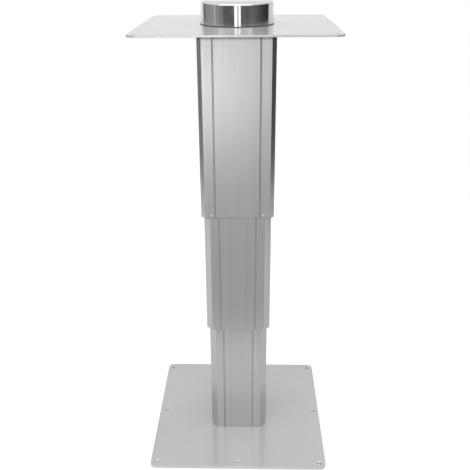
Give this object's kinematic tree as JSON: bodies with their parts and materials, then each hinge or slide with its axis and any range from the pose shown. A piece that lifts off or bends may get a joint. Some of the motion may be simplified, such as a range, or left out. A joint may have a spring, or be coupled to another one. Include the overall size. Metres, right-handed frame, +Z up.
{
  "type": "height adjustable table leg",
  "caption": "Three-stage telescopic octagonal column between a square floor plate and a square table plate, with a mirror cap over its drive.",
  "frame": {"origin": "centre of the floor plate's underside, at floor level", "axes": "+Z up along the column, -Y towards the front of the picture"},
  "size_m": [0.3, 0.3, 0.7455],
  "materials": {
    "plate_coat": "smooth satin pale grey coat",
    "tube_metal": "brushed along its length and anodised",
    "cap_mirror": "polished mirror",
    "screw_steel": "zinc plated",
    "machined_steel": "turned and ground",
    "cast_metal": "die cast",
    "nut_bronze": "turned bronze",
    "motor_steel": "drawn and zinc plated",
    "guide_plastic": "moulded white slide plastic",
    "black_plastic": "moulded",
    "seal_rubber": "moulded soft rubber"
  },
  "bodies": {
    "base": {"base_plate": "plate_coat", "lower_tube": "tube_metal", "lower_guide_collar": "guide_plastic", "nut_post": "machined_steel", "base_nut": "nut_bronze", "lower_tube_screws": "screw_steel", "nut_post_screws": "screw_steel", "base_nut_screws": "screw_steel"},
    "middle": {"middle_tube": "tube_metal", "middle_wiper": "seal_rubber", "middle_glide_strips": "guide_plastic", "middle_guide_collar": "guide_plastic", "middle_head": "cast_metal", "middle_head_screws": "screw_steel", "middle_nut": "nut_bronze", "middle_nut_screws": "screw_steel", "spindle_bearing": "machined_steel", "bearing_circlip": "screw_steel"},
    "spindle": {"hollow_spindle": "machined_steel", "spindle_key_bush": "nut_bronze"},
    "upper": {"upper_tube": "tube_metal", "upper_wiper": "seal_rubber", "upper_glide_strips": "guide_plastic", "top_plate": "plate_coat", "top_plate_screws": "screw_steel", "bearing_housing": "cast_metal", "upper_head_screws": "screw_steel", "screw_bearing": "machined_steel", "bearing_retainer": "machined_steel", "retainer_screws": "screw_steel", "gearbox_housing": "cast_metal", "gearbox_cover": "cast_metal", "gearbox_screws": "screw_steel", "motor_can": "motor_steel", "motor_end_cap": "black_plastic", "cap_seat_ring": "seal_rubber", "motor_cap": "cap_mirror", "cable_grommet": "seal_rubber"},
    "screw": {"lead_screw": "machined_steel"}
  },
  "joints": [
    {"name": "middle_slide", "type": "slide", "parent": "base", "child": "middle", "axis": [0, 0, 1], "range_m": [-0.205, 0]},
    {"name": "upper_slide", "type": "slide", "parent": "middle", "child": "upper", "axis": [0, 0, 1], "range_m": [-0.205, 0]},
    {"name": "spindle_turn", "type": "hinge", "parent": "middle", "child": "spindle", "pos_m": [0, 0, 0.4], "axis": [0, 0, 1], "range_deg": [-9300, 0]},
    {"name": "screw_turn", "type": "hinge", "parent": "upper", "child": "screw", "pos_m": [0, 0, 0.6], "axis": [0, 0, 1], "range_deg": [-9300, 0]}
  ],
  "couplings": [
    {"joint": "upper_slide", "follows": "middle_slide", "ratio": 1},
    {"joint": "spindle_turn", "follows": "middle_slide", "rad_per_m": 785.4},
    {"joint": "screw_turn", "follows": "middle_slide", "rad_per_m": 785.4}
  ]
}
